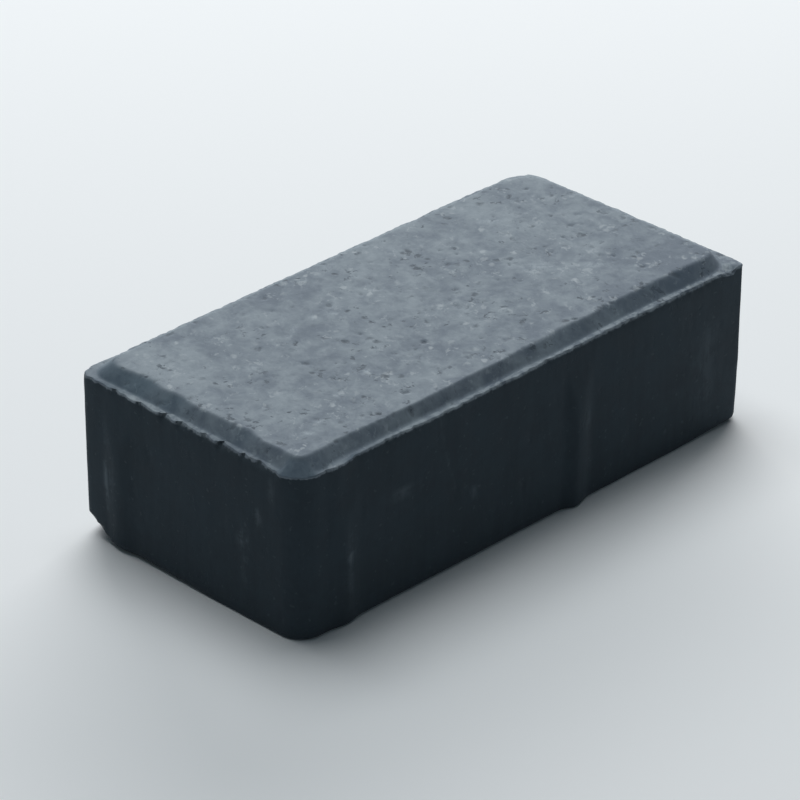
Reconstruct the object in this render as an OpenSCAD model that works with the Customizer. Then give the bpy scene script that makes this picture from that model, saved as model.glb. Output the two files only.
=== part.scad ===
// Rectangular concrete paving stone, pressed in a mould as one piece.
// Millimetres, Z up, origin at the middle of the underside, length along X.

/* [Paving grid] */
// Length of the grid cell that one stone fills, with its share of the joint
cell_l = 200; // [160:1:240]
// Width of the grid cell that one stone fills, with its share of the joint
cell_w = 100; // [80:1:120]
// Joint left open between two laid stones
joint = 3; // [2:0.5:5]

/* [Stone] */
// Height from the underside to the wearing face
height = 60; // [50:1:100]
// Radius of the four upright corners
corner_r = 5; // [3:0.5:8]

/* [Top edge] */
// Run of the chamfer, measured across the edge
chamfer_run = 4; // [2:0.5:6]
// Drop of the chamfer below the wearing face
chamfer_drop = 4; // [2:0.5:6]
// Width of the flat land outside the chamfer
land_w = 2.5; // [2:0.25:4]
// Radius by which the wearing face rounds over into the chamfer
edge_r = 1.5; // [0.5:0.25:2]
// Radius of the hollow where the chamfer runs out into the land
foot_r = 1.5; // [0.5:0.25:2]
// Corner radius of the wearing face
face_corner_r = 3; // [2:0.5:6]

/* [Spacer lugs] */
// Room left between a lug and the stone beside it
lug_play = 0.6; // [0.2:0.1:1]
// Width of a lug where it leaves the side
lug_root_w = 12.5; // [10:0.5:16]
// Width of the flat crest of a lug
lug_crest_w = 3.5; // [2:0.5:8]
// Height of side left plain between the land and the top of a lug
lug_below_land = 8; // [4:1:16]
// Length of the slope by which a lug rises out of the side
lug_lead_in = 14; // [6:1:20]
// Centre of the first lug from the left end of a long side, seen from outside
long_side_lug_at = 20; // [16:0.5:30]
// Centre of the lug from the left end of a short side, seen from outside
short_side_lug_at = 17.5; // [16:0.5:30]

/* [Broken bottom corner] */
// Length broken off along the short side
break_along_short = 15.5; // [6:0.5:20]
// Length broken off along the long side
break_along_long = 10; // [6:0.5:20]
// Height broken off at the upright corner
break_up = 9; // [4:0.5:12]

/* [Hidden] */
$fn = 96;

body_l = cell_l - joint;
body_w = cell_w - joint;
land_z = height - chamfer_drop;
// Depth by which one form reaches into another so that they fuse
bite = 2;
// Length by which a cut runs on past what it cuts
over = 2;

// Length that each rounding of the top edge takes on both sides of its corner
chamfer_angle = atan2(chamfer_drop, chamfer_run);
edge_reach = edge_r * tan(chamfer_angle / 2);
foot_reach = foot_r * tan(chamfer_angle / 2);

// Edge of the wearing face, and middle of the cones that turn its corners
face_inset = land_w + chamfer_run;
face_x = body_l / 2 - face_inset;
face_y = body_w / 2 - face_inset;
cone_x = face_x - face_corner_r;
cone_y = face_y - face_corner_r;

// How far a lug stands out from its side
lug_proud = joint - lug_play;
lug_top_z = land_z - lug_below_land;
long_side_lugs = floor(cell_l / cell_w);

// Plan of the stone without its lugs
module rounded_plan(length, width, radius) {
    square([length - 2 * radius, width], center = true);
    square([length, width - 2 * radius], center = true);
    for (sx = [-1, 1], sy = [-1, 1])
        translate([sx * (length / 2 - radius), sy * (width / 2 - radius)])
            circle(radius);
}

// Section cut from the top edge: X runs outwards from the edge of the wearing
// face and Y up from the land. It leaves the rounded edge, the chamfer and the
// hollow that runs out into the land.
module rim_section() {
    slope = [cos(chamfer_angle), -sin(chamfer_angle)];
    edge_middle = [-edge_reach, chamfer_drop - edge_r];
    foot_middle = [chamfer_run + foot_reach, foot_r];
    difference() {
        union() {
            polygon([
                [-edge_reach, chamfer_drop + over],
                edge_middle,
                [0, chamfer_drop] + edge_reach * slope,
                [chamfer_run, 0] - foot_reach * slope,
                foot_middle,
                foot_middle + [over, 0],
                [chamfer_run + foot_reach + over, chamfer_drop + over]
            ]);
            translate(foot_middle)
                circle(foot_r);
        }
        translate(edge_middle)
            circle(edge_r);
    }
}

// The section run straight along a side that faces -Y
module rim_run(side_l) {
    rotate([90, 0, -90])
        translate([0, 0, -side_l / 2])
            linear_extrude(side_l)
                rim_section();
}

// The section run round all four sides and turned about the corners
module rim_cut() {
    corners = [[1, 1], [-1, 1], [-1, -1], [1, -1]];
    for (turn = [0, 180])
        rotate([0, 0, turn]) {
            translate([0, -face_y, 0])
                rim_run(2 * cone_x);
            rotate([0, 0, 90])
                translate([0, -face_x, 0])
                    rim_run(2 * cone_y);
        }
    for (k = [0 : 3])
        translate([corners[k][0] * cone_x, corners[k][1] * cone_y, 0])
            rotate([0, 0, 90 * k])
                rotate_extrude(angle = 90)
                    translate([face_corner_r, 0])
                        rim_section();
}

// Raised wearing face, from inside the body up
module crown() {
    foot_inset = land_w - foot_reach;
    foot_corner_r = face_corner_r + chamfer_run + foot_reach;
    translate([0, 0, land_z])
        difference() {
            translate([0, 0, -bite])
                linear_extrude(bite + chamfer_drop)
                    rounded_plan(body_l - 2 * foot_inset, body_w - 2 * foot_inset, foot_corner_r);
            rim_cut();
        }
}

// One lug, standing out towards -Y from a side that lies in the plane Y = 0
module lug() {
    intersection() {
        linear_extrude(lug_top_z)
            polygon([
                [-lug_root_w / 2, bite],
                [-lug_root_w / 2, 0],
                [-lug_crest_w / 2, -lug_proud],
                [lug_crest_w / 2, -lug_proud],
                [lug_root_w / 2, 0],
                [lug_root_w / 2, bite]
            ]);
        rotate([90, 0, 90])
            translate([0, 0, -lug_root_w])
                linear_extrude(2 * lug_root_w)
                    polygon([
                        [bite, bite],
                        [0, 0],
                        [-lug_proud, 0],
                        [-lug_proud, lug_top_z - lug_lead_in],
                        [0, lug_top_z],
                        [bite, lug_top_z]
                    ]);
    }
}

// Lugs of one long and one short side; the other two sides are half a turn on
module lugs() {
    for (turn = [0, 180])
        rotate([0, 0, turn]) {
            for (k = [0 : long_side_lugs - 1])
                translate([-body_l / 2 + long_side_lug_at + k * cell_w, -body_w / 2, 0])
                    lug();
            translate([-body_l / 2, body_w / 2 - short_side_lug_at, 0])
                rotate([0, 0, -90])
                    lug();
        }
}

// Everything beyond the plane of the break, which meets the short edge, the long
// edge and the upright corner at the broken lengths
module break_cut() {
    normal = [-1 / break_along_long, 1 / break_along_short, -1 / break_up];
    tilt = acos(normal[2] / norm(normal));
    turn = atan2(normal[1], normal[0]);
    block = 2 * (break_along_long + break_along_short + break_up);
    translate([-body_l / 2, body_w / 2, 0])
        rotate([0, tilt, turn])
            translate([-block / 2, -block / 2, -1 / norm(normal)])
                cube(block);
}

module paving_stone() {
    color("slategray")
        difference() {
            union() {
                linear_extrude(land_z)
                    rounded_plan(body_l, body_w, corner_r);
                crown();
                lugs();
            }
            break_cut();
        }
}

paving_stone();
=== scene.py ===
"""Concrete paving stone: one pressed block with a pitted wearing face, a ragged land and a broken bottom corner."""
import math
import random

import bpy
import numpy as np
from mathutils import Matrix, Vector, noise


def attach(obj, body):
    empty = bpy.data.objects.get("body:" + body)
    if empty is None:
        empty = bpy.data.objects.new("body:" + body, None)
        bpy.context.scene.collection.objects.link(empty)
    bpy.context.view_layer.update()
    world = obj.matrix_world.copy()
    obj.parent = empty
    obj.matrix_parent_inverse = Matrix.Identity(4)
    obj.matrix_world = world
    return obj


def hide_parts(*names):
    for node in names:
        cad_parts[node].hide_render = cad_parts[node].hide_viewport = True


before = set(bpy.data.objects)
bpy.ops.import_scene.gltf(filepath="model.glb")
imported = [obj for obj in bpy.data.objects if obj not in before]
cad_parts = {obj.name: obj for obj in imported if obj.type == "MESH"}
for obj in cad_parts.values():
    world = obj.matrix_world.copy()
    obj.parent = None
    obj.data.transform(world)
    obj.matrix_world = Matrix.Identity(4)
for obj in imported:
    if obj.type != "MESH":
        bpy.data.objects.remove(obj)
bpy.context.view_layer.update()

MM = 0.001

# Sizes of the CAD part, in mm
HALF_L, HALF_W, HEIGHT = 98.5, 48.5, 60.0
CHAMFER, LAND = 4.0, 2.5
LAND_Z = HEIGHT - CHAMFER
LUG_TOP, LUG_LEAD_IN = 48.0, 14.0
LUG_PROUD = 2.4
BREAK_SHORT, BREAK_LONG, BREAK_UP = 15.5, 10.0, 9.0
CHAMFER_ANGLE = 45.0

# Roundings of this stone, corners in the order in which the stations pass them: near, right, far, left
EDGE_R, FOOT_R = 2.0, 1.8
FACE_R = (1.6, 3.4, 10.0, 6.0)
FOOT_R_PLAN = (8.0, 10.8, 13.0, 7.2)
TOP_R = (9.7, 1.9, 9.4, 4.4)
CORNER_R = (8.5, 2.3, 5.0, 4.2)
BASE_R = (8.5, 4.2, 5.0, 4.2)
# Heights at which BASE_R, CORNER_R, CORNER_R again and TOP_R hold
CORNER_HEIGHTS = (3.0, 22.0, 38.0, LAND_Z)

# Steps of each rounding and of the chamfer between them, then the rows below: inset, height or drop
ROUND_STEPS, SLOPE_STEPS = 4, 6
LAND_INSETS = (1.2, 0.8, 0.4)
LIP_ROWS = ((0.14, 0.03), (0.04, 0.12), (0.0, 0.35))
UPPER_SIDE_ROWS = (54.7, 53.6, 52.2)
SIDE_ROWS = np.linspace(50.2, 3.4, 24)
BOTTOM_ROWS = ((0.0, 1.9), (0.05, 0.9), (0.3, 0.3), (0.9, 0.0))
BOTTOM_TURNS = (0, 32, 62, 90)
UNDER_INSET, UNDER_MIN_R = 3.6, 1.5

# Quads of the wearing face along and across, and stations of half a corner
NX, NY, ARC = 284, 130, 6
SIDE_N = (NX, NY, NX, NY)
STATIONS = 2 * (NX + NY)

random.seed(5538)


def waves(points, size, seed):
    """Smooth noise from -1 to 1 with features of about that size in mm; size may differ by axis."""
    shift = Vector((seed * 7.31, seed * 3.17, seed * 5.83))
    scaled = np.asarray(points) / np.asarray(size, float)
    return np.array([noise.noise(Vector(p) + shift) for p in scaled])


def smooth(low, high, value):
    """Soft step from 0 at low to 1 at high."""
    t = np.clip((value - low) / (high - low), 0.0, 1.0)
    return t * t * (3.0 - 2.0 * t)


def outline(half_x, half_y, radii):
    """Stations of a rounded rectangle, from the middle of the near corner round by the right one."""
    points = []
    for side, n in enumerate(SIDE_N):
        along, out = (half_x, half_y) if side % 2 == 0 else (half_y, half_x)
        r0, r1 = radii[side], radii[(side + 1) % 4]
        for k in range(n):
            if k < ARC:
                a = math.radians(45 + 45 * k / ARC)
                u, w = -along + r0 - r0 * math.cos(a), out - r0 + r0 * math.sin(a)
            elif k > n - ARC:
                a = math.radians(45 + 45 * (n - k) / ARC)
                u, w = along - r1 + r1 * math.cos(a), out - r1 + r1 * math.sin(a)
            else:
                t = (k - ARC) / (n - 2 * ARC)
                u, w = (1 - t) * (-along + r0) + t * (along - r1), out
            points.append(((u, -w), (w, u), (-u, w), (-w, -u))[side])
    return np.array(points)


def patch(ring, nx, ny):
    """Grid of points inside a closed ring of stations, as a blend of its four sides."""
    south, east = ring[:nx + 1], ring[nx:nx + ny + 1]
    north = ring[nx + ny:2 * nx + ny + 1][::-1]
    west = np.vstack([ring[2 * nx + ny:], ring[:1]])[::-1]
    s, t = np.linspace(0, 1, nx + 1)[:, None, None], np.linspace(0, 1, ny + 1)[None, :, None]
    grid = (1 - t) * south[:, None] + t * north[:, None] + (1 - s) * west[None] + s * east[None]
    corners = ((1 - s) * (1 - t) * south[0] + s * (1 - t) * south[-1]
               + (1 - s) * t * north[0] + s * t * north[-1])
    return grid - corners


# Section of the side, from the wearing face down: inset from the side, height, and kind
tan_half = math.tan(math.radians(CHAMFER_ANGLE / 2))
edge_reach, foot_reach = EDGE_R * tan_half, FOOT_R * tan_half
face_inset = LAND + CHAMFER
section = [(face_inset + edge_reach, HEIGHT, "edge")]
for step in range(1, ROUND_STEPS + 1):
    a = math.radians(CHAMFER_ANGLE * step / ROUND_STEPS)
    section.append((face_inset + edge_reach - EDGE_R * math.sin(a),
                    HEIGHT - EDGE_R + EDGE_R * math.cos(a), "edge"))
slope_top, slope_foot = section[-1][0], LAND + foot_reach * math.sqrt(0.5)
for step in range(1, SLOPE_STEPS):
    inset = slope_top + (slope_foot - slope_top) * step / SLOPE_STEPS
    section.append((inset, LAND_Z + inset - LAND, "chamfer"))
for step in range(ROUND_STEPS + 1):
    a = math.radians(CHAMFER_ANGLE * (1 - step / ROUND_STEPS))
    section.append((LAND - foot_reach + FOOT_R * math.sin(a),
                    LAND_Z + FOOT_R - FOOT_R * math.cos(a), "foot"))
for inset in LAND_INSETS:
    section.append((inset, LAND_Z, "land"))
for inset, drop in LIP_ROWS:
    section.append((inset, LAND_Z - drop, "lip"))
for z in (*UPPER_SIDE_ROWS, *SIDE_ROWS):
    section.append((0.0, float(z), "side"))
for inset, z in BOTTOM_ROWS:
    section.append((inset, z, "bottom"))
kinds = [row[2] for row in section]
LIP = kinds.index("lip")
SIDE = kinds.index("side")
BOTTOM = kinds.index("bottom")

# Rings of stations
land_start = LAND - foot_reach
ring_xy, ring_z = [], []
for inset, z, kind in section:
    stacks = zip(BASE_R, CORNER_R, CORNER_R, TOP_R)
    lower = [np.interp(z, CORNER_HEIGHTS, stack) for stack in stacks]
    if kind in ("edge", "chamfer", "foot"):
        share = (inset - land_start) / (section[0][0] - land_start)
        radii = [(1 - share) * foot + share * r for foot, r in zip(FOOT_R_PLAN, FACE_R)]
    elif kind == "land":
        share = 1 - inset / land_start
        radii = [(1 - share) * foot + share * low for foot, low in zip(FOOT_R_PLAN, lower)]
    else:
        radii = [low - inset for low in lower]
    ring_xy.append(outline(HALF_L - inset, HALF_W - inset, radii))
    ring_z.append(np.full(STATIONS, z))
ring_xy, ring_z = np.array(ring_xy), np.array(ring_z)

# Outward direction of each station, and its length along the outline
body = ring_xy[SIDE]
ahead = np.roll(body, -1, 0) - np.roll(body, 1, 0)
outward = np.stack([ahead[:, 1], -ahead[:, 0]], 1)
outward /= np.linalg.norm(outward, axis=1)[:, None]
place = np.concatenate([[0], np.cumsum(np.linalg.norm(np.diff(body, axis=0), axis=1))])
flat = np.column_stack([body, np.zeros(STATIONS)])

# First station of each side, and the side of each station
first = np.cumsum((0,) + SIDE_N[:3])
side_of = np.repeat(np.arange(4), SIDE_N)

# The edge of the wearing face and the foot of the chamfer wander. Where the photograph shows wide swings,
# they are noted by side: place along it, shift outwards.
FACE_SWINGS = {0: [(-92, 1.2), (-82, 1.3), (-71, 0.8), (-57, 1.6), (-38, 1.9), (-24, 1.6), (-12, 1.1), (-5, 1.9),
                   (6, 0.6), (16, 0.9), (27, -0.5), (38, 0.4), (49, -0.7), (75, -0.6), (82, -0.9), (90, -0.2)],
               2: [(60, 0.0), (80, -0.3), (93, -0.9)],
               3: [(-42, 0.6), (-33, 1.0), (-26, 1.5), (-19, -1.1), (-12, 0.2), (1, 0.6), (8, 0.7), (15, -1.2),
                   (22, 0.1), (28, -1.5), (35, -1.8), (40, -0.2)]}
FOOT_SWINGS = {0: [(-90, 1.4), (-86, 1.6), (-82, 0.9), (-76, 0.4), (-13, 0.4), (6, 0.1), (16, 0.7),
                   (27, 0.1), (53, -0.5), (72, -0.6), (82, 0.0), (95, -0.2)],
               1: [(-46, -0.3), (-28, 0.0)],
               2: [(-95, 0.2), (-70, 0.0)],
               3: [(-40, 0.2), (-18, -0.2), (-11, -0.2), (0, -0.1), (30, -0.1), (44, 0.2)]}

# Outer edge of the land, in the same way but inwards. On the short side it is a row of flakes, each of which
# widens and breaks off.
LAND_SWINGS = {0: [(-95.7, 0.0), (-91, -0.2), (-87, 0.1), (-82.5, -1.0), (-78, -0.4), (-75, 0.2), (-60, 0.7),
                   (-50, 0.1), (-29, -0.1), (-18, 0.2), (-7, 0.0), (5, 0.7), (16, 0.4), (39, 0.8), (62, 0.7),
                   (86, 0.5), (95, 0.0)],
               2: [(70, 0.0), (84, 0.4), (92, 0.8)],
               3: [(-45.6, 0.0), (-41, -1.0), (-38.2, 0.3), (-36.8, 0.1), (-30.9, 1.5), (-29.6, 0.2), (-24.3, 1.2),
                   (-23, -0.1), (-14, 1.5), (-12.8, -0.2), (-7, 1.2), (-5.6, -0.3), (3.5, 0.9), (4.8, -0.7),
                   (10.8, 1.0), (12.2, -1.0), (21.1, 0.7), (22.6, -0.8), (32.4, 0.5), (34, -0.4), (44, 0.0)]}

# Rounding of the bottom edge, in the same way
BASE_SWINGS = {0: [(-85, 1.0), (-74, 1.2), (12, 1.0), (45, 0.5), (66, 0.4), (80, 1.1), (93, 2.2)],
               1: [(-46, 2.2), (-30, 1.0)],
               2: [(-80, 1.0), (80, 1.0)],
               3: [(-44, 0.8), (-12, 0.4), (-4, 1.0), (2, 1.6), (16, 2.2), (24, 2.6), (44, 2.6)]}


def blur(values, count):
    """Running mean round the outline, over that many stations."""
    return np.convolve(np.tile(values, 3), np.full(count, 1 / count), "same")[STATIONS:2 * STATIONS]


def swing(table, count):
    """Shift of each station from a table of swings, blurred."""
    shift = np.zeros(STATIONS)
    for side, marks in table.items():
        pick = side_of == side
        shift[pick] = np.interp(body[pick, side % 2], *zip(*marks))
    return blur(shift, count)


# The two sides that show are the worn ones
showing = blur(np.where((side_of == 0) | (side_of == 3), 1.0, 0.25), 9)
face_shift = swing(FACE_SWINGS, 7) + showing * (0.28 * waves(flat, 9.0, 1) + 0.16 * waves(flat, 3.0, 2))
foot_shift = swing(FOOT_SWINGS, 9)
for k, kind in enumerate(kinds):
    inset = section[k][0]
    if kind in ("edge", "chamfer", "foot"):
        share = max(0.0, (inset - slope_foot) / (section[0][0] - slope_foot))
        ring_xy[k] += outward * (face_shift * share + foot_shift * (1 - share))[:, None]
    elif kind == "land":
        ring_xy[k] += outward * (foot_shift * inset / land_start)[:, None]

# The land's outer edge is ragged as well. A notch ends soon below it, a bulge runs out down the side.
NOTCH_FADE, BULGE_FADE, CHIP_REACH = 1.4, 14.0, 2.7
chips = swing(LAND_SWINGS, 1) + 0.16 * waves(flat, 4.0, 3) + 0.42 * waves(flat, 1.7, 4)
chips += blur(np.choose(side_of, (-0.2, 0.1, 0.1, 0.4)), 3)
at = 0.0
while at < place[-1]:
    at += random.uniform(9.0, 28.0)
    width, depth = random.uniform(0.8, 2.4), random.uniform(0.15, 0.5)
    chips += depth * np.exp(-((place - at) / width) ** 2)
# Way along the outline from the near, right and left corners
near = np.minimum(place, place[-1] - place)
right = np.abs(place - place[NX])
left = np.abs(place - place[first[3]])
chips -= 0.15 * smooth(9.0, 3.0, right)
bulge = blur(np.minimum(chips, 0.0), 9)
for k in range(kinds.index("foot"), BOTTOM):
    inset, z, kind = section[k]
    below = LAND_Z - z
    if kind == "side":
        shift = np.maximum(chips, 0.0) * math.exp(-(below / NOTCH_FADE) ** 2)
        shift += bulge * math.exp(-(below / BULGE_FADE) ** 2)
    else:
        shift = chips * max(0.0, 1 - inset / CHIP_REACH)
    ring_xy[k] -= outward * shift[:, None]

# The bottom edge is rounded
base_r = swing(BASE_SWINGS, 9)
for k, turn in zip(range(BOTTOM, len(section)), BOTTOM_TURNS):
    a = math.radians(turn)
    ring_xy[k] += outward * (section[k][0] - base_r * (1 - math.cos(a)))[:, None]
    ring_z[k] = base_r * (1 - math.sin(a))

# At the near corner the land is worn off, so that the chamfer runs straight on to the side
WORN_OUT, WORN_IN, WORN_DROP = 6.8, 4.4, 0.3
worn = smooth(WORN_OUT, WORN_IN, near)
start, stop = kinds.index("chamfer"), LIP + 1
span = np.linalg.norm(ring_xy[stop] - ring_xy[start], axis=1)
for k in range(start + 1, SIDE):
    run = np.minimum(1.0, np.linalg.norm(ring_xy[k] - ring_xy[start], axis=1) / span)
    straight = ring_z[start] + (LAND_Z - WORN_DROP - ring_z[start]) * run - WORN_DROP * max(0, k - stop)
    ring_z[k] += worn * (straight - ring_z[k])

# Near the right corner a flake has gone from the land's outer edge
FLAKE_DROP, FLAKE_SHARES = 1.7, (0.5, 0.7, 0.85, 1.0, 1.0, 1.0, 0.5)
FLAKE_FROM, FLAKE_TO = (87.0, 92.5), (94.6, 93.3)
for k, share in zip(range(kinds.index("land"), SIDE + 1), FLAKE_SHARES):
    x, y = ring_xy[k].T
    ring_z[k] -= share * FLAKE_DROP * smooth(*FLAKE_FROM, x) * smooth(*FLAKE_TO, x) * (y < 0)

# Spacer lugs of the two sides that show, as worn: side, place along it, height, crest, left flank, right flank.
# The two hidden sides have the same lugs half a turn on, unworn.
LUGS = [(0, -78.5, 1.1, 3.0, 4.5, 4.5), (0, 21.2, 2.1, 1.6, 3.8, 6.6), (3, -31.0, 1.0, 3.0, 4.5, 4.5),
        (2, -78.5, LUG_PROUD, 3.5, 4.5, 4.5), (2, 21.5, LUG_PROUD, 3.5, 4.5, 4.5),
        (1, -31.0, LUG_PROUD, 3.5, 4.5, 4.5)]


def lug_height(across, z, proud, crest, left_flank, right_flank):
    """How far a lug stands out from its side, with rounded edges."""
    plan = proud * (1 + (crest / 2 - np.abs(across)) / np.where(across < 0, left_flank, right_flank))
    rise = (LUG_TOP - z) / LUG_LEAD_IN * proud
    blend = 0.12 * proud
    low = -blend * np.log(np.exp(-plan / blend) + np.exp(-rise / blend) + math.exp(-proud / blend))
    return np.maximum(0.0, blend * np.log1p(np.exp(low / blend)) - 0.01)


for side, centre, *shape in LUGS:
    pick = np.arange(first[side], first[side] + SIDE_N[side])
    across = (1 if side < 2 else -1) * body[pick, side % 2] - centre
    for k in range(SIDE, len(section)):
        ring_xy[k][pick] += outward[pick] * lug_height(across, ring_z[k][pick], *shape)[:, None]

# All points: wearing face, rings below its edge, underside
face_xy = patch(ring_xy[0], NX, NY)
face = np.dstack([face_xy, np.full(face_xy.shape[:2], HEIGHT)]).reshape(-1, 3)
rings = np.dstack([ring_xy[1:], ring_z[1:]]).reshape(-1, 3)
bx, by = NX // 2, NY // 2
under_radii = [max(UNDER_MIN_R, r - UNDER_INSET) for r in BASE_R]
under_ring = outline(HALF_L - UNDER_INSET, HALF_W - UNDER_INSET, under_radii)[::2]
under_xy = patch(under_ring, bx, by)
under = np.dstack([under_xy, np.zeros(under_xy.shape[:2])]).reshape(-1, 3)
points = np.vstack([face, rings, under])
n_face, n_rings = len(face), len(rings)


def edge_ids(nx, ny, start):
    """Numbers of a grid's outer points, in the order of the stations."""
    ids = start + np.arange((nx + 1) * (ny + 1)).reshape(nx + 1, ny + 1)
    return ids, np.concatenate([ids[:-1, 0], ids[-1, :-1], ids[:0:-1, -1], ids[0, :0:-1]])


face_ids, face_rim = edge_ids(NX, NY, 0)
under_ids, under_rim = edge_ids(bx, by, n_face + n_rings)
ring_ids = np.vstack([face_rim[None], n_face + np.arange(n_rings).reshape(-1, STATIONS)])

# Faces, with the island of the texture map that each lies in
faces, islands = [], []
quads = np.stack([face_ids[:-1, :-1], face_ids[1:, :-1], face_ids[1:, 1:], face_ids[:-1, 1:]], -1)
faces += quads.reshape(-1, 4).tolist()
islands += ["face"] * (NX * NY)
for k in range(len(section) - 1):
    up, down = ring_ids[k], ring_ids[k + 1]
    faces += np.stack([up, down, np.roll(down, -1), np.roll(up, -1)], -1).tolist()
    if k + 1 < SIDE:
        islands += ["face"] * STATIONS
    elif k >= BOTTOM:
        islands += ["under"] * STATIONS
    else:
        islands += [f"side{s}" for s in side_of]
last = ring_ids[-1]
for k in range(0, STATIONS, 2):
    a, b, c = last[k], last[k + 1], last[(k + 2) % STATIONS]
    d, e = under_rim[k // 2], under_rim[(k // 2 + 1) % len(under_rim)]
    faces += [[a, d, b], [b, d, e], [b, e, c]]
    islands += ["under"] * 3
quads = np.stack([under_ids[:-1, :-1], under_ids[:-1, 1:], under_ids[1:, 1:], under_ids[1:, :-1]], -1)
faces += quads.reshape(-1, 4).tolist()
islands += ["under"] * (bx * by)

mesh = bpy.data.meshes.new("paving_stone_cast")
mesh.from_pydata(points * MM, [], faces)
mesh.update()
normals = np.zeros(len(points) * 3, np.float32)
mesh.vertex_normals.foreach_get("vector", normals)
normals = normals.reshape(-1, 3).astype(float)

# Row of the section that each point lies in: -1 on the wearing face, past the last one on the underside
row_of = np.full(len(points), -1)
row_of[n_face:n_face + n_rings] = 1 + np.arange(n_rings) // STATIONS
row_of[n_face + n_rings:] = len(section)
on_top = row_of < LIP
on_face = row_of < 1
on_side = (row_of >= SIDE) & (row_of < BOTTOM)

# Relief: long waves, then grain. Depth where picked and elsewhere, size, seed
relief = np.zeros(len(points))
for picked, strong, weak, size, seed in ((on_top, 0.10, 0.20, 26.0, 5), (on_top, 0.06, 0.08, 7.0, 6),
                                         (on_face, 0.055, 0.018, 2.6, 7), (on_face, 0.04, 0.012, 1.4, 8),
                                         (on_side, 0.03, 0.0, (2.2, 2.2, 14.0), 9)):
    relief += np.where(picked, strong, weak) * waves(points, size, seed)

# Pits of the wearing face and the chamfer: x, y, radius, depth. First those that the photograph shows best, then
# strewn ones in clusters, then small ones along the edge of the wearing face.
CLUSTERS, EDGE_PIT_CHANCE, SIDE_PITS = 34, 0.17, 90
PITS = [(-30.7, 37.7, 1.5, 0.7), (-50.7, -2.4, 1.2, 0.5), (-19.5, 19.7, 1.1, 0.5), (-26.1, -0.7, 0.9, 0.5),
        (-16.0, -18.4, 0.8, 0.7), (-6.3, -9.7, 1.0, 0.5), (-44.9, 9.0, 1.0, 0.4), (-42.5, -36.7, 1.0, 0.7),
        (-44.6, 23.5, 0.9, 0.5), (-54.8, 14.5, 1.2, 0.4), (82.2, 32.2, 0.9, 0.5), (64.2, 12.3, 0.9, 0.6),
        (65.6, -0.1, 1.0, 0.6), (72.8, 3.6, 0.9, 0.5), (87.6, 2.0, 0.9, 0.5), (55.5, -4.8, 1.0, 0.5),
        (39.4, -1.3, 0.9, 0.6), (25.8, 12.4, 1.0, 0.4), (33.0, 15.9, 0.9, 0.5), (29.5, -6.0, 0.8, 0.5),
        (15.4, -1.3, 1.2, 0.5), (15.9, -30.3, 0.9, 0.5), (67.1, -20.5, 0.9, 0.5), (68.4, -31.7, 1.0, 0.6),
        (-1.8, -29.0, 0.9, 0.5), (-13.6, -35.4, 0.9, 0.5), (39.9, -41.3, 1.0, 0.5), (-47.5, -44.6, 1.0, 0.6),
        (72.4, -42.2, 1.0, 0.5), (-94.3, 30.6, 0.9, 0.6), (-94.9, 14.0, 0.9, 0.5), (-94.4, 12.4, 0.7, 0.4),
        (-95.3, 15.5, 0.6, 0.4)]
for _ in range(CLUSTERS):
    x, y = random.uniform(-86, 86), random.uniform(-37, 37)
    for _ in range(random.randint(2, 6)):
        PITS.append((x + random.gauss(0, 4), y + random.gauss(0, 4),
                     random.uniform(0.5, 1.0), random.uniform(0.12, 0.4)))
for k in range(0, STATIONS, 3):
    if random.random() < EDGE_PIT_CHANCE and min(near[k], right[k], left[k]) > 12:
        x, y = ring_xy[2][k] - outward[k] * random.uniform(-0.3, 1.6)
        PITS.append((x, y, random.uniform(0.5, 1.1), random.uniform(0.2, 0.55)))
# Painted shade in the pits, on the wearing face and the sides, which the material reads
pit_shade = np.zeros(len(points))
top_ids = np.nonzero(row_of < kinds.index("land"))[0]
bend = np.column_stack([waves(points[top_ids], 1.8, 21), waves(points[top_ids], 1.8, 22)])
top_xy = points[top_ids, :2] + 0.9 * bend
for x, y, radius, depth in PITS:
    turn, long = random.uniform(0, math.pi), random.uniform(1.0, 1.9)
    dx, dy = top_xy[:, 0] - x, top_xy[:, 1] - y
    along = (dx * math.cos(turn) + dy * math.sin(turn)) / long
    across = -dx * math.sin(turn) + dy * math.cos(turn)
    bowl = np.clip(1 - np.hypot(along, across) ** 2 / radius ** 2, 0, 1)
    relief[top_ids] -= 0.6 * depth * bowl
    pit_shade[top_ids] = np.maximum(pit_shade[top_ids], bowl * min(1.0, 0.4 + depth))

# Fewer, wider pits on the sides
side_ids = np.nonzero(on_side)[0]
side_points = points[side_ids]
for _ in range(SIDE_PITS):
    side = random.choices(range(4), SIDE_N)[0]
    s = random.uniform(-0.9, 0.9)
    plan = ((s * HALF_L, -HALF_W), (HALF_L, s * HALF_W), (s * HALF_L, HALF_W), (-HALF_L, s * HALF_W))[side]
    centre = np.array((*plan, random.uniform(6, 52)))
    radius, depth = random.uniform(0.9, 2.0), random.uniform(0.10, 0.35)
    apart = np.linalg.norm((side_points - centre) * (1, 1, 0.8), axis=1) / radius
    bowl = np.clip(1 - apart ** 2, 0, 1)
    relief[side_ids] -= depth * bowl
    pit_shade[side_ids] = np.maximum(pit_shade[side_ids], 0.6 * bowl)
points = points + normals * relief[:, None]

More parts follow.
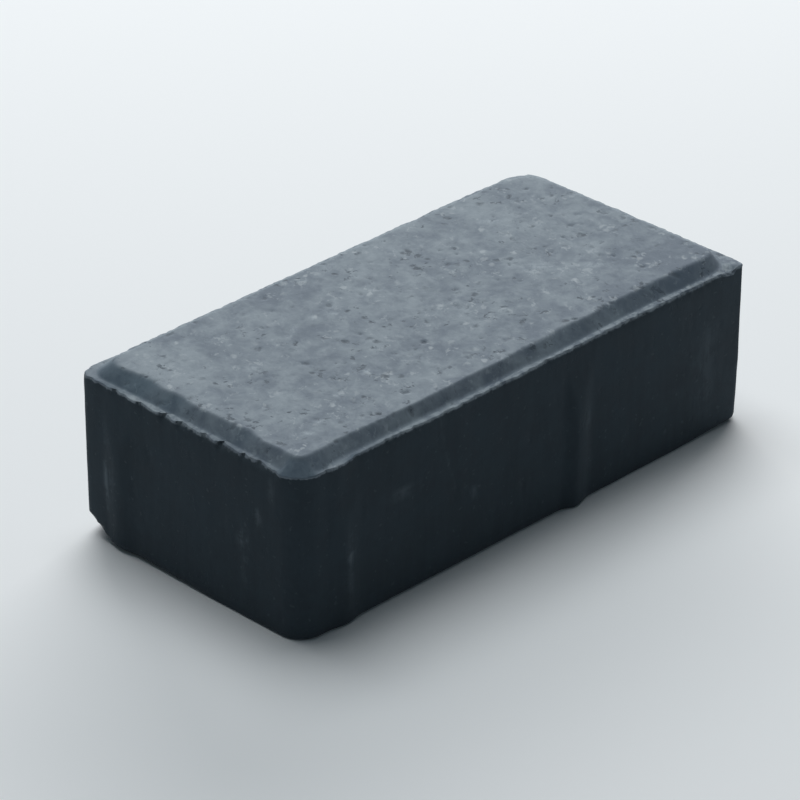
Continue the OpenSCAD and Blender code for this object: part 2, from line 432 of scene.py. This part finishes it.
# Broken bottom corners: what lies beyond the plane of a break falls back onto it, and the plane is rough.
# The large one is hollowed near the upright edge; the small one is at the right end.
SMALL_BREAK, SMALL_BREAK_UP = 3.5, 4.5
HOLLOW_Y, HOLLOW_Z, HOLLOW_DEPTH = 42.5, 6.0, 0.3
BREAKS = [((-HALF_L, HALF_W, 0), (-1 / BREAK_LONG, 1 / BREAK_SHORT, -1 / BREAK_UP), 0.45),
          ((HALF_L, -HALF_W, 0), (1 / SMALL_BREAK, -1 / SMALL_BREAK, -1 / SMALL_BREAK_UP), 0.3)]
broken = np.zeros(len(points))
uneven = waves(points, 3.2, 11) + 0.5 * waves(points, 1.3, 12)
for corner, plane, rough in BREAKS:
    plane = np.array(plane)
    reach = 1 / np.linalg.norm(plane)
    plane = plane * reach
    beyond = (points - corner) @ plane + reach + rough * uneven
    hollow = np.exp(-((points[:, 1] - HOLLOW_Y) / 3.2) ** 2 - ((points[:, 2] - HOLLOW_Z) / 3.0) ** 2)
    beyond += HOLLOW_DEPTH * hollow
    cut = np.maximum(0.0, beyond)
    points -= cut[:, None] * plane
    broken = np.maximum(broken, smooth(0.0, 0.4, cut))

# The underside stays on the floor
points[:, 2] = np.maximum(points[:, 2], 0.0)

# Marks that the material reads, first where the sides' dark skin begins
side_share = smooth(LIP + 1.2, SIDE + 0.6, row_of.astype(float))
side_share[row_of < 0] = 0.0

# Between two flakes of the short side's land its dark skin shows through
GAP_LENGTH, GAP_DEPTH, GAP_SHARES = 1.7, 0.8, (0.15, 0.4, 0.65, 0.8, 0.9, 1.0)
gap = np.zeros(STATIONS)
for (end, deep), (begin, shallow) in zip(LAND_SWINGS[3], LAND_SWINGS[3][1:]):
    if begin - end < GAP_LENGTH and deep - shallow > GAP_DEPTH:
        here = np.exp(-((body[:, 1] - end - 0.3) / 0.75) ** 2) * (side_of == 3)
        gap = np.maximum(gap, here)
side_rows = side_share[n_face:n_face + n_rings].reshape(-1, STATIONS)
for k, share in zip(range(kinds.index("land"), SIDE), GAP_SHARES):
    side_rows[k - 1] = np.maximum(side_rows[k - 1], share * gap)

# The land is pale, but not near three of the corners
land_share = np.zeros(len(points))
for k, kind in enumerate(kinds):
    if kind in ("land", "lip") or k == kinds.index("land") - 1:
        land_share[row_of == k] = 1.0
dull = np.maximum(worn, 0.85 * smooth(42.0, 24.0, near))
dull = np.maximum(dull, 0.9 * smooth(24.0, 12.0, left))
dull = np.maximum(dull, 0.3 * smooth(15.0, 8.0, right))
land_share *= 1 - np.concatenate([np.zeros(n_face), np.tile(dull, len(section) - 1), np.zeros(len(under))])

# Painted shade on the chamfer, darker and bluer: more where the chamfer runs flatter, on the short side's left part
# and near the left corner, less near the right corner; and darker patches on the land below it, with the same tint
slope_share = np.zeros(len(points))
for k, kind in enumerate(kinds):
    if kind in ("edge", "chamfer", "foot"):
        slope_share[row_of == k] = smooth(0, 5, k) * smooth(SIDE - 6, SIDE - 10, k)
slope_rows = slope_share[n_face:n_face + n_rings].reshape(-1, STATIONS)
shade_depth = 0.53 + 0.16 * (foot_shift - face_shift)
shade_depth += blur(np.where((side_of == 3) & (body[:, 1] > 5), 0.22, 0.0), 21)
shade_depth += 0.2 * smooth(16.0, 9.0, left) * (side_of == 3)
slope_rows *= np.clip(shade_depth, 0.4, 1.0) * (1 - 0.35 * smooth(12.0, 5.0, right))
# Darker patches on the land, near x -76 on the long side and near the left corner of the short side
land_darkening = 0.7 * np.exp(-((body[:, 0] + 76.0) / 3.5) ** 2) * (side_of == 0)
land_darkening += 0.55 * smooth(22.0, 14.0, left) * smooth(2.0, 7.0, left) * (side_of == 3)
slope_rows[LIP - 4:LIP + 1] += land_darkening
# Painted shade over the worn near corner, so that its flatter run is as dark as the chamfer beside it
worn_corner_shade = 0.92 * smooth(9.5, 3.4, near) * smooth(0, 5, np.arange(LIP + 1.0))[:, None]
slope_rows[:LIP + 1] = np.maximum(slope_rows[:LIP + 1], worn_corner_shade)

# Wide paler and darker areas of the wearing face, partly a painted gradient of light, paler at the left end and
# darker at the right end: x, y, radius, amount
TONES_AND_LIGHT = [(-82, 26, 18, 0.10), (10, 37, 16, 0.09), (70, 36, 18, 0.05), (78, -38, 24, -0.14), (-18, -17, 10, -0.05),
         (-60, 20, 10, -0.04), (-97, 47, 9, -0.08), (97, -47, 10, -0.12)]
tone_and_light = np.zeros(len(points))
for x, y, radius, amount in TONES_AND_LIGHT:
    tone_and_light += amount * np.exp(-((points[:, 0] - x) ** 2 + (points[:, 1] - y) ** 2) / radius ** 2)

# Pale scuffs; those on the lugs (side 3 at -37 and -34, side 0 at -78 and 26) are partly painted highlight on their
# flanks and crests: side, place along it, height, half length along and up, strength
SCUFFS_AND_HIGHLIGHTS = [(3, 24.3, 26.8, 2.2, 2.4, 0.8), (3, 30.6, 37.4, 1.2, 2.6, 0.7), (3, 24.6, 17.0, 1.3, 4.5, 0.35),
          (3, 36.9, 48.5, 1.2, 3.5, 0.4), (3, -37.0, 23.5, 0.9, 11.0, 0.8), (3, -34.2, 27.0, 1.4, 7.0, 0.35),
          (0, -55.3, 35.1, 4.0, 1.3, 0.6), (0, -24.7, 22.8, 1.1, 1.5, 0.55), (0, 25.7, 28.5, 1.5, 3.8, 0.32),
          (0, 26.2, 14.0, 1.8, 9.0, 0.08), (0, -78.1, 23.0, 1.6, 2.8, 0.8), (0, -78.2, 28.5, 1.4, 1.6, 0.45),
          (0, -78.3, 20.0, 1.6, 13.0, 0.25), (0, 79.5, 22.0, 4.5, 12.0, 0.26), (0, 82.5, 33.0, 3.5, 7.0, 0.24)]
scuff_and_highlight = np.zeros(len(points))
dressed = points[side_ids]
for side, s, z, half_s, half_z, strength in SCUFFS_AND_HIGHLIGHTS:
    axis, sign = side % 2, 1 if side < 2 else -1
    out_sign = (-1, 1, 1, -1)[side]
    facing = dressed[:, 1 - axis] * out_sign > (HALF_W if axis == 0 else HALF_L) - 3
    shape = np.exp(-((sign * dressed[:, axis] - s) / half_s) ** 2 - ((dressed[:, 2] - z) / half_z) ** 2)
    scuff_and_highlight[side_ids] = np.maximum(scuff_and_highlight[side_ids], strength * shape * facing)

# A thin pale scratch down the long side
SCRATCH_Z, SCRATCH_X, SCRATCH_WIDE, SCRATCH_PALE = (27.6, 54.7), (-33.0, -39.9), 0.6, 0.13
scratch_x = np.interp(side_points[:, 2], SCRATCH_Z, SCRATCH_X)
on_scratch = (side_points[:, 1] < 2 - HALF_W) & (np.abs(side_points[:, 2] - 41) < 14)
shape = SCRATCH_PALE * np.exp(-((side_points[:, 0] - scratch_x) / SCRATCH_WIDE) ** 2) * on_scratch
scuff_and_highlight[side_ids] = np.maximum(scuff_and_highlight[side_ids], shape)

# Pale rubbed places on the wearing face: x, y, half length, half width, turn, strength
RUBS = [(-39.9, 15.1, 4.5, 0.7, 30, 0.8), (57.3, 24.4, 3.6, 0.9, -40, 0.9), (44.9, -7.9, 6.0, 2.0, -45, 0.6),
        (57.8, -20.0, 6.0, 1.4, -45, 0.7), (35.7, -20.9, 1.2, 0.9, 0, 0.9), (-29.2, 17.3, 1.5, 0.8, -40, 0.9),
        (-22.6, 14.3, 4.0, 1.2, -75, 0.6), (-41.7, -19.6, 1.6, 1.6, 0, 0.9), (-40.5, -12.7, 0.9, 0.7, 0, 0.9),
        (-64.7, 6.3, 3.0, 1.8, 20, 0.6), (-14.9, 38.0, 3.0, 0.9, -40, 0.8), (-4.1, 37.8, 4.5, 2.2, 10, 0.6),
        (-58.1, -23.5, 1.2, 0.9, 0, 0.9), (-73.4, -31.5, 1.2, 1.0, 0, 0.9), (-62.5, -38.2, 1.2, 1.0, 0, 0.8),
        (-80.8, -33.6, 2.2, 0.8, -30, 0.9), (-30.5, -41.3, 1.0, 0.8, 0, 0.7)]
rub = np.zeros(len(points))
for x, y, long, wide, turn, strength in RUBS:
    c, s = math.cos(math.radians(turn)), math.sin(math.radians(turn))
    dx, dy = (points[:n_face, :2] + 1.2 * bend[:n_face] - (x, y)).T
    shape = np.exp(-((dx * c + dy * s) / long) ** 2 - ((dy * c - dx * s) / wide) ** 2)
    rub[:n_face] = np.maximum(rub[:n_face], strength * shape)

mesh.vertices.foreach_set("co", (points * MM).astype(np.float32).ravel())
for name, values in (("side", side_share), ("land", land_share), ("slope", slope_share), ("pit_shade", pit_shade),
                     ("tone_and_light", tone_and_light), ("scuff_and_highlight", scuff_and_highlight), ("rub", rub), ("broken", broken)):
    mesh.attributes.new(name, "FLOAT", "POINT").data.foreach_set("value", values.astype(np.float32))
mesh.update()
mesh.shade_smooth()

stone = bpy.data.objects.new("paving_stone_cast", mesh)
bpy.context.scene.collection.objects.link(stone)
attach(stone, "root")
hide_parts("paving_stone")


class Tree:
    """Short names for making and linking the nodes of one material or world."""

    def __init__(self, owner):
        owner.use_nodes = True
        self.tree = owner.node_tree
        self.tree.nodes.clear()

    def new(self, kind, **inputs):
        made = self.tree.nodes.new(kind)
        for name, value in inputs.items():
            self.set(made, name.replace("_", " "), value)
        return made

    def set(self, made, name, value):
        socket = made.inputs[int(name)] if name.isdigit() else made.inputs[name]
        if isinstance(value, bpy.types.NodeSocket):
            self.tree.links.new(value, socket)
        else:
            socket.default_value = value

    def math(self, operation, a, b=0.0):
        made = self.tree.nodes.new("ShaderNodeMath")
        made.operation = operation
        self.set(made, "0", a)
        self.set(made, "1", b)
        return made.outputs[0]

    def times(self, a, b):
        return self.math("MULTIPLY", a, b)

    def plus(self, a, b):
        return self.math("ADD", a, b)

    def span(self, value, low, high, to_low=0.0, to_high=1.0):
        made = self.tree.nodes.new("ShaderNodeMapRange")
        made.interpolation_type = "SMOOTHSTEP"
        sockets = ("Value", "From Min", "From Max", "To Min", "To Max")
        for name, given in zip(sockets, (value, low, high, to_low, to_high)):
            self.set(made, name, given)
        return made.outputs["Result"]

    def mix(self, factor, a, b, blend="MIX"):
        made = self.tree.nodes.new("ShaderNodeMix")
        made.data_type = "RGBA"
        made.blend_type = blend
        for name, value in (("0", factor), ("6", a), ("7", b)):
            self.set(made, name, value)
        return made.outputs[2]

    def noise(self, where, scale, detail=3.0, rough=0.55, distort=0.0):
        made = self.new("ShaderNodeTexNoise", Vector=where, Scale=scale, Detail=detail, Roughness=rough,
                        Distortion=distort)
        return made.outputs["Fac"]

    def bent(self, where, scale, amount):
        """The same coordinates, pushed about by noise."""
        push = self.new("ShaderNodeTexNoise", Vector=where, Scale=scale, Detail=2.0).outputs["Color"]
        centred = self.tree.nodes.new("ShaderNodeVectorMath")
        centred.operation = "MULTIPLY_ADD"
        self.set(centred, "0", push)
        self.set(centred, "1", (amount, amount, amount))
        self.set(centred, "2", (-amount / 2, -amount / 2, -amount / 2))
        moved = self.tree.nodes.new("ShaderNodeVectorMath")
        self.set(moved, "0", where)
        self.set(moved, "1", centred.outputs[0])
        return moved.outputs[0]

    def drawn_out(self, where, turn, long):
        """The same coordinates, with patterns drawn out in one direction across the face."""
        made = self.new("ShaderNodeMapping", Vector=where)
        made.vector_type = "TEXTURE"
        made.inputs["Rotation"].default_value = (0, 0, math.radians(turn))
        made.inputs["Scale"].default_value = (long, 1, 1)
        return made.outputs["Vector"]

    def flecks(self, where, scale, share, radius, core=0.4):
        """Separate flecks in a share of all cells, each of its own size and strength, full within the core."""
        cells = self.new("ShaderNodeTexVoronoi", Vector=where, Scale=scale)
        own = self.new("ShaderNodeSeparateColor", Color=cells.outputs["Color"])
        size = self.times(self.plus(own.outputs["Green"], 0.7), radius / 1.7)
        body = self.span(cells.outputs["Distance"], size, self.times(size, core))
        strength = self.span(own.outputs["Red"], 1 - share, 1.0 - 0.2 * share)
        return self.times(body, strength)

    def tinted(self, base, amount, strength, colour):
        """The base colour, mixed with another where the amount is high."""
        return self.mix(self.times(amount, strength), base, (*colour, 1))

    def by_ray(self, seen, unseen):
        """One shader for rays from the camera, gloss or transmission, another for the light thrown on things."""
        rays = self.new("ShaderNodeLightPath").outputs
        behind = self.math("MAXIMUM", rays["Is Glossy Ray"], rays["Is Transmission Ray"])
        made = self.new("ShaderNodeMixShader")
        self.set(made, "0", self.math("MAXIMUM", rays["Is Camera Ray"], behind))
        self.set(made, "1", unseen.outputs[0])
        self.set(made, "2", seen.outputs[0])
        return made.outputs[0]

    def attribute(self, name):
        made = self.tree.nodes.new("ShaderNodeAttribute")
        made.attribute_name = name
        return made.outputs["Fac"]

    def stretched(self, where, scale):
        made = self.new("ShaderNodeMapping", Vector=where)
        made.inputs["Scale"].default_value = scale
        return made.outputs["Vector"]


concrete = bpy.data.materials.new("concrete")
t = Tree(concrete)
where = t.new("ShaderNodeTexCoord").outputs["Object"]
side, land, slope, pit_shades, tones_and_light = (t.attribute(n) for n in ("side", "land", "slope", "pit_shade", "tone_and_light"))
scuffs_and_highlights, rubs, fracture = (t.attribute(n) for n in ("scuff_and_highlight", "rub", "broken"))

brushed = t.drawn_out(where, 45.0, 1.2)
cloud = t.noise(where, 58.0, 3.0, 0.55)
mottle = t.noise(brushed, 185.0, 3.0, 0.6, 0.4)
grain = t.noise(where, 900.0, 3.0, 0.6)
bent = t.bent(brushed, 420.0, 0.0030)
round_bent = t.bent(where, 420.0, 0.0026)
patches = t.span(t.noise(where, 85.0, 2.0, 0.5), 0.42, 0.58, 0.12, 1.0)
clusters = t.span(t.noise(where, 105.0, 2.0, 0.5, 0.5), 0.49, 0.61, 0.1, 1.0)
plain = t.span(slope, 0.0, 1.0, 1.0, 0.4)

# Wearing face: two greys in clouds and mottles, then pale and dark flecks, larger ones and fine ones
tone = t.plus(t.times(cloud, 0.48), t.times(mottle, 0.52))
# Add the wide paler and darker areas, partly a painted gradient of light
tone = t.plus(tone, tones_and_light)
face_colour = t.mix(t.span(tone, 0.315, 0.685), (0.133, 0.163, 0.200, 1), (0.284, 0.324, 0.358, 1))
face_colour = t.mix(t.span(grain, 0.3, 0.7, 0.0, 0.10), face_colour, (0.11, 0.136, 0.166, 1))
pale = t.times(t.flecks(bent, 300.0, 0.36, 0.50), t.times(patches, plain))
pale_fine = t.flecks(bent, 600.0, 0.25, 0.46)
face_colour = t.tinted(face_colour, pale, 0.56, (0.44, 0.480, 0.505))
face_colour = t.tinted(face_colour, pale_fine, 0.12, (0.40, 0.445, 0.475))
dark = t.times(t.flecks(round_bent, 280.0, 0.62, 0.56, 0.3), t.times(clusters, plain))
dark_fine = t.flecks(round_bent, 720.0, 0.30, 0.42)
face_colour = t.tinted(face_colour, dark, 0.74, (0.062, 0.077, 0.094))
face_colour = t.tinted(face_colour, dark_fine, 0.08, (0.075, 0.092, 0.108))
pale_blots = t.times(t.span(t.noise(bent, 290.0, 3.0, 0.65), 0.58, 0.68), patches)
dark_blots = t.span(t.noise(round_bent, 270.0, 3.0, 0.65), 0.58, 0.66)
dark_blots = t.times(dark_blots, t.times(clusters, plain))
face_colour = t.tinted(face_colour, pale_blots, 0.46, (0.42, 0.462, 0.490))
face_colour = t.tinted(face_colour, dark_blots, 0.74, (0.070, 0.087, 0.106))
rubbed = t.times(rubs, t.span(t.noise(bent, 620.0, 2.0, 0.6), 0.38, 0.62, 0.1, 0.9))
face_colour = t.mix(rubbed, face_colour, (0.38, 0.43, 0.47, 1))
# Painted shade: the chamfer, and a few patches of land, made darker and bluer
face_colour = t.mix(slope, face_colour, (0.50, 0.58, 0.63, 1), "MULTIPLY")

# Sides: the dark skin left by the mould, with faint upright drag marks
drag = t.noise(t.stretched(where, (1.0, 1.0, 0.12)), 300.0, 4.0, 0.6)
side_tone = t.plus(t.times(mottle, 0.3), t.times(drag, 0.2))
side_tone = t.plus(t.times(cloud, 0.5), side_tone)
side_colour = t.mix(t.span(side_tone, 0.34, 0.66), (0.027, 0.039, 0.049, 1), (0.040, 0.056, 0.069, 1))
side_colour = t.tinted(side_colour, pale_fine, 0.12, (0.20, 0.23, 0.25))
side_colour = t.tinted(side_colour, dark_fine, 0.30, (0.025, 0.034, 0.042))
# Pale scuffs, which on the lugs are partly painted highlight
scuff_and_highlight_share = t.times(scuffs_and_highlights, t.span(t.plus(drag, mottle), 0.85, 1.15, 0.1, 0.8))
side_colour = t.mix(scuff_and_highlight_share, side_colour, (0.16, 0.195, 0.22, 1))

# Crumbled border between the two, then the pale land and painted shade in the pits
crumbs = t.math("SUBTRACT", t.noise(where, 700.0, 2.0, 0.5), 0.5)
ragged = t.plus(side, t.times(crumbs, 0.9))
colour = t.mix(t.span(ragged, 0.35, 0.7), face_colour, side_colour)
flakes = t.span(t.noise(where, 560.0, 2.0, 0.5), 0.40, 0.56, 0.0, 0.55)
colour = t.mix(t.times(land, flakes), colour, (0.35, 0.40, 0.43, 1))
# Painted shade in the pits; the grain adds random darker specks as well
pit_shade_share = t.span(t.plus(pit_shades, t.times(t.math("SUBTRACT", grain, 0.5), 1.2)), 0.2, 0.8)
colour = t.tinted(colour, pit_shade_share, 0.40, (0.06, 0.074, 0.090))

# Fracture: paler matrix with broken stones in it
stones = t.new("ShaderNodeTexVoronoi", Vector=bent, Scale=260.0)
stone_pick = t.new("ShaderNodeSeparateColor", Color=stones.outputs["Color"])
matrix_share = t.span(stone_pick.outputs["Blue"], 0.2, 0.9)
break_colour = t.mix(matrix_share, (0.085, 0.10, 0.115, 1), (0.20, 0.22, 0.235, 1))
colour = t.mix(fracture, colour, break_colour)

# Fine relief below what the mesh holds
height = t.times(grain, 0.12)
for pattern, rise in ((mottle, 0.45), (dark, -0.55), (dark_blots, -0.45), (dark_fine, -0.15), (pale, 0.10),
                      (t.times(drag, side), 0.35)):
    height = t.plus(height, t.times(pattern, rise))
bump = t.new("ShaderNodeBump", Strength=0.35, Distance=0.0006, Height=height)

shader = t.new("ShaderNodeBsdfPrincipled", Base_Color=colour, Normal=bump.outputs["Normal"])
shader.inputs["Specular IOR Level"].default_value = 0.2
t.set(shader, "Roughness", t.span(tone, 0.3, 0.7, 0.78, 0.92))
t.new("ShaderNodeOutputMaterial", Surface=shader.outputs[0])
mesh.materials.append(concrete)

# Texture map named OFBake: wearing face with its edge, four sides and underside side by side on a square sheet,
# in mm, each with the place of its lower left corner. The seam is the outline's last stretch.
SHEET, SEAM = 336.0, 0.65
offsets = {"face": (4, 4), "under": (4, 107), "side0": (4, 210), "side2": (4, 274),
           "side1": (212, 4), "side3": (212, 68)}
loop_vertex = np.zeros(len(mesh.loops), np.int32)
mesh.loops.foreach_get("vertex_index", loop_vertex)
loop_face = np.repeat(np.arange(len(faces)), [len(f) for f in faces])
loop_island = np.array(islands)[loop_face]
where_mm = points[loop_vertex]
on_ring = (loop_vertex >= n_face) & (loop_vertex < n_face + n_rings)
station = np.where(on_ring, (loop_vertex - n_face) % STATIONS, 0)
uv = np.zeros((len(loop_vertex), 2))
for name, (u0, v0) in offsets.items():
    pick = loop_island == name
    if name in ("face", "under"):
        uv[pick] = where_mm[pick][:, :2] + (HALF_L + u0 + LUG_PROUD, HALF_W + v0)
        continue
    s = int(name[-1])
    start = place[first[s]]
    length = place[station[pick]] - start
    if s == 3:
        length = np.where(length < 0, place[-1] + SEAM - start, length)
    uv[pick] = np.column_stack([length + u0, where_mm[pick][:, 2] + v0])
mesh.uv_layers.new(name="OFBake").data.foreach_set("uv", (uv / SHEET).astype(np.float32).ravel())

# Floor: pale, keeps the shadow, and throws less light back than it shows
floor_mesh = bpy.data.meshes.new("floor")
FLOOR_HALF, FLOOR_Z = 6, -0.0002
floor_corners = [(x * FLOOR_HALF, y * FLOOR_HALF, FLOOR_Z) for x, y in ((-1, -1), (1, -1), (1, 1), (-1, 1))]
floor_mesh.from_pydata(floor_corners, [], [(0, 1, 2, 3)])
floor = bpy.data.objects.new("floor", floor_mesh)
bpy.context.scene.collection.objects.link(floor)
paper = bpy.data.materials.new("floor_paper")
f = Tree(paper)
shown = f.new("ShaderNodeBsdfDiffuse", Color=(0.90, 0.905, 0.91, 1))
bounced = f.new("ShaderNodeBsdfDiffuse", Color=(0.68, 0.70, 0.72, 1))
f.new("ShaderNodeOutputMaterial", Surface=f.by_ray(shown, bounced))
floor_mesh.materials.append(paper)

# Middle of the stone, which the lamps and the camera face
MIDDLE = Vector((0, 0, HEIGHT / 2 * MM))


def lamp(name, towards, distance, width, depth, power, colour=(1, 1, 1)):
    """Area light in that direction from the stone, facing it."""
    data = bpy.data.lights.new(name, "AREA")
    data.shape = "RECTANGLE"
    data.size, data.size_y = width, depth
    data.energy = power
    data.color = colour
    made = bpy.data.objects.new(name, data)
    direction = Vector(towards).normalized()
    made.location = direction * distance + MIDDLE
    made.rotation_euler = direction.to_track_quat("Z", "Y").to_euler()
    bpy.context.scene.collection.objects.link(made)


lamp("overhead", (0.14, 0.33, 1.0), 2.4, 1.7, 1.7, 36.0, (0.94, 0.98, 1.0))
lamp("window", (0.77, 0.64, 0.38), 2.6, 2.4, 0.7, 57.0)

world = bpy.data.worlds.new("studio")
bpy.context.scene.world = world
w = Tree(world)
light = w.new("ShaderNodeBackground", Color=(0.68, 0.88, 1.0, 1), Strength=0.09)
backdrop = w.new("ShaderNodeBackground", Color=(0.93, 0.94, 0.95, 1), Strength=1.0)
w.new("ShaderNodeOutputWorld", Surface=w.by_ray(backdrop, light))

# Camera: fitted to the straight edges of the stone in the photograph. Focal length, offsets and frame in pixels.
AZIMUTH, ELEVATION, ROLL = math.radians(-44.84), math.radians(29.03), math.radians(-0.23)
DISTANCE, FOCAL, OFF_X, OFF_Y, FRAME = 1.43651, 4570.9, 18.35, -10.59, 800
back = Vector((math.sin(AZIMUTH) * math.cos(ELEVATION), -math.cos(AZIMUTH) * math.cos(ELEVATION),
               math.sin(ELEVATION)))
level = Vector((math.cos(AZIMUTH), math.sin(AZIMUTH), 0))
upright = back.cross(level)
x_axis = math.cos(ROLL) * level + math.sin(ROLL) * upright
y_axis = math.cos(ROLL) * upright - math.sin(ROLL) * level
eye = MIDDLE + back * DISTANCE - x_axis * (OFF_X * DISTANCE / FOCAL) + y_axis * (OFF_Y * DISTANCE / FOCAL)
camera_data = bpy.data.cameras.new("camera")
camera_data.sensor_width = 36.0
camera_data.lens = FOCAL / FRAME * camera_data.sensor_width
camera_data.clip_start, camera_data.clip_end = 0.01, 50.0
camera = bpy.data.objects.new("camera", camera_data)
rows = zip(x_axis, y_axis, back, eye)
camera.matrix_world = Matrix((*rows, (0, 0, 0, 1)))
bpy.context.scene.collection.objects.link(camera)
bpy.context.scene.camera = camera
bpy.context.scene.view_settings.view_transform = "Standard"

bpy.context.view_layer.update()
